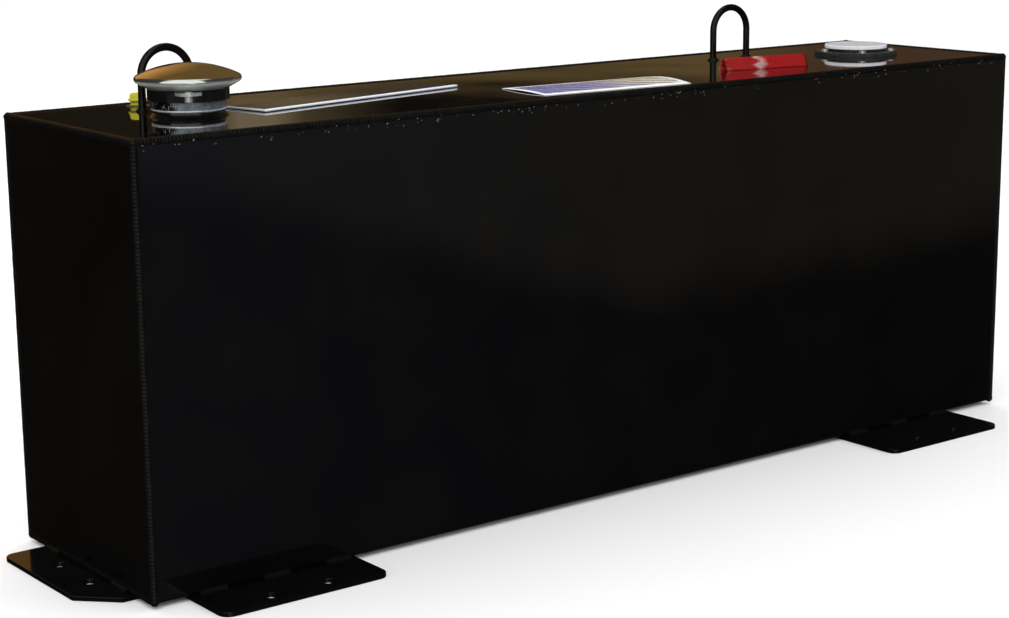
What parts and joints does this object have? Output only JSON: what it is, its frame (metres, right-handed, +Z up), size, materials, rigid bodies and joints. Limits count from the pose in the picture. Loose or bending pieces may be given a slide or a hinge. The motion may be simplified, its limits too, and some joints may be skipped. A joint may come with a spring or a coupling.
{
  "type": "truck bed transfer tank",
  "caption": "Long black steel fuel transfer tank for a truck bed with bolt-down feet, lift eyes, a locking filler cap, a vent plug and a float gauge.",
  "frame": {"origin": "middle of the footprint at the underside of the feet", "axes": "+X along the tank from the filler end to the gauge end, +Y from the front to the back, +Z up"},
  "size_m": [1.316, 0.3566, 0.5193],
  "materials": {
    "black_paint": "gloss enamel over weathered sheet",
    "bare_steel": "mill scale and oil film",
    "zinc_steel": "zinc plated",
    "bright_chrome": "polished",
    "black_plastic": "moulded, glossy",
    "nitrile_rubber": "matt",
    "yellow_plastic": "moulded",
    "white_plastic": "moulded, glossy",
    "clear_plastic": "clear",
    "red_enamel": "satin",
    "cast_alloy": "die cast, dull",
    "brass": "turned",
    "steel_rod": "drawn",
    "float_foam": "closed-cell, matt",
    "card_dark": "laminated, glossy",
    "card_blue": "laminated, glossy",
    "card_red": "satin"
  },
  "bodies": {
    "tank": {"tank_wrap": "black_paint", "tank_end_left": "black_paint", "tank_end_right": "black_paint", "top_plate": "black_paint", "baffle_left": "bare_steel", "baffle_right": "bare_steel", "seam_welds": "black_paint", "foot_front_left": "black_paint", "foot_front_right": "black_paint", "foot_end_left": "black_paint", "foot_end_right": "black_paint", "foot_welds": "black_paint", "neck_tube": "black_paint", "neck_weld": "black_paint", "neck_ring": "zinc_steel", "eye_left": "black_paint", "eye_right": "black_paint", "eye_welds": "black_paint", "vent_bung": "bare_steel", "gauge_pad": "bare_steel", "gauge_gasket": "nitrile_rubber", "gauge_head": "cast_alloy", "gauge_screws": "zinc_steel", "dial_cup": "white_plastic", "dial_face": "white_plastic", "dial_lens": "clear_plastic", "support_tube": "zinc_steel", "pivot_bracket": "zinc_steel", "shaft_bushes": "brass", "arm_pin": "steel_rod", "card_dark": "card_dark", "card_blue": "card_blue", "card_red": "card_red"},
    "cap_plug": {"cap_plug": "black_plastic", "cap_gasket": "nitrile_rubber", "cap_spindle": "zinc_steel", "lock_lug": "zinc_steel", "lock_barrel": "zinc_steel"},
    "cap_dome": {"cap_dome": "bright_chrome"},
    "vent_plug": {"vent_plug": "yellow_plastic"},
    "float_arm": {"arm_gear": "brass", "float_arm": "steel_rod", "float_body": "float_foam"},
    "drive_shaft": {"drive_shaft": "steel_rod", "drive_magnet": "steel_rod", "shaft_pinion": "brass"},
    "pointer": {"pointer": "red_enamel"}
  },
  "joints": [
    {"name": "cap_lift", "type": "slide", "parent": "tank", "child": "cap_plug", "axis": [0, 0, 1], "range_m": [0, 0.08]},
    {"name": "cap_turn", "type": "hinge", "parent": "cap_plug", "child": "cap_dome", "pos_m": [-0.474, 0.0402, 0.48], "axis": [0, 0, 1], "continuous": true},
    {"name": "vent_pull", "type": "slide", "parent": "tank", "child": "vent_plug", "axis": [0, 0, 1], "range_m": [0, 0.04]},
    {"name": "float_swing", "type": "hinge", "parent": "tank", "child": "float_arm", "pos_m": [0.484, 0.0402, 0.2283], "axis": [0, 1, 0], "range_deg": [0, 110]},
    {"name": "shaft_turn", "type": "hinge", "parent": "tank", "child": "drive_shaft", "pos_m": [0.484, 0.0402, 0.2483], "axis": [0, 0, 1], "range_deg": [-275, 0]},
    {"name": "pointer_turn", "type": "hinge", "parent": "tank", "child": "pointer", "pos_m": [0.484, 0.0402, 0.4621], "axis": [0, 0, 1], "range_deg": [-275, 0]}
  ],
  "couplings": [
    {"joint": "shaft_turn", "follows": "float_swing", "ratio": -2.5},
    {"joint": "pointer_turn", "follows": "float_swing", "ratio": -2.5}
  ]
}
